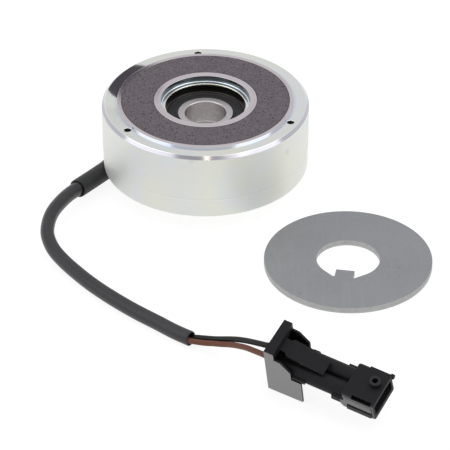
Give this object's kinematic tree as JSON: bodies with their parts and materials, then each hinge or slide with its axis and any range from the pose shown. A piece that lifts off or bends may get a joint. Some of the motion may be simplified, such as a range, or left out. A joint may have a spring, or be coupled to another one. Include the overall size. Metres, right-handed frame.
{
  "type": "electromagnetic clutch",
  "caption": "Electromagnetic clutch: plated field magnet with friction lining and ball bearing, a loose keyed armature disc, and a cable ending in a two-way plug.",
  "frame": {"origin": "centre of the rear pilot bore at the foot of the rear hub, the surface that the clutch stands on", "axes": "+Z along the clutch axis from the hub's foot towards the pole faces; +Y away from the plug; the armature disc lies on the +X side"},
  "size_m": [0.1878, 0.2587, 0.0452],
  "materials": {
    "zinc_plate": "bright satin zinc plate with a faint iridescence",
    "ground_steel": "finely turned and ground",
    "black_steel": "black oxide",
    "nylon": "natural moulded",
    "copper": "enamelled wire",
    "tape": "insulating film",
    "resin": "cast resin",
    "lining": "ground friction compound",
    "bearing_steel": "ground bearing steel",
    "ball_steel": "polished",
    "cage": "moulded polyamide",
    "seal_rubber": "matt moulded nitrile",
    "spring_steel": "phosphated",
    "sleeve_rubber": "matt",
    "cable_jacket": "satin jacket",
    "black_insulation": "smooth insulation",
    "brown_insulation": "smooth insulation",
    "armature_steel": "blanked and flat ground",
    "connector_plastic": "satin moulded",
    "silicone": "moulded silicone",
    "tinned_brass": "tinned"
  },
  "bodies": {
    "clutch_body": {"outer_pole_shell": "zinc_plate", "base_plate": "zinc_plate", "inner_pole_core": "ground_steel", "base_screws": "black_steel", "coil_bobbin": "nylon", "coil_winding": "copper", "winding_tape": "tape", "coil_leads": "copper", "potting_ring": "resin", "friction_lining": "lining", "bearing_outer_ring": "bearing_steel", "bearing_front_seal": "seal_rubber", "bearing_rear_seal": "seal_rubber", "bearing_circlip": "spring_steel", "cable_outlet_boot": "sleeve_rubber", "cable_sleeve": "sleeve_rubber", "cable_sheath": "cable_jacket", "wire_black": "black_insulation", "wire_brown": "brown_insulation", "connector_housing": "connector_plastic", "connector_rear_cap": "connector_plastic", "wire_seals": "silicone", "terminal_pins": "tinned_brass"},
    "inner_race": {"bearing_inner_ring": "bearing_steel"},
    "ball_set": {"bearing_balls": "ball_steel", "bearing_cage": "cage"},
    "armature": {"armature_disc": "armature_steel"}
  },
  "joints": [
    {"name": "bearing_spin", "type": "hinge", "parent": "clutch_body", "child": "inner_race", "pos_m": [0, 0, 0.0317], "axis": [0, 0, 1], "continuous": true},
    {"name": "ball_orbit", "type": "hinge", "parent": "clutch_body", "child": "ball_set", "pos_m": [0, 0, 0.0317], "axis": [0, 0, 1], "continuous": true},
    {"name": "armature_spin", "type": "hinge", "parent": "clutch_body", "child": "armature", "pos_m": [0.0685, -0.076, 0], "axis": [0, 0, 1], "continuous": true}
  ],
  "couplings": [
    {"joint": "ball_orbit", "follows": "bearing_spin", "ratio": 0.3976}
  ]
}
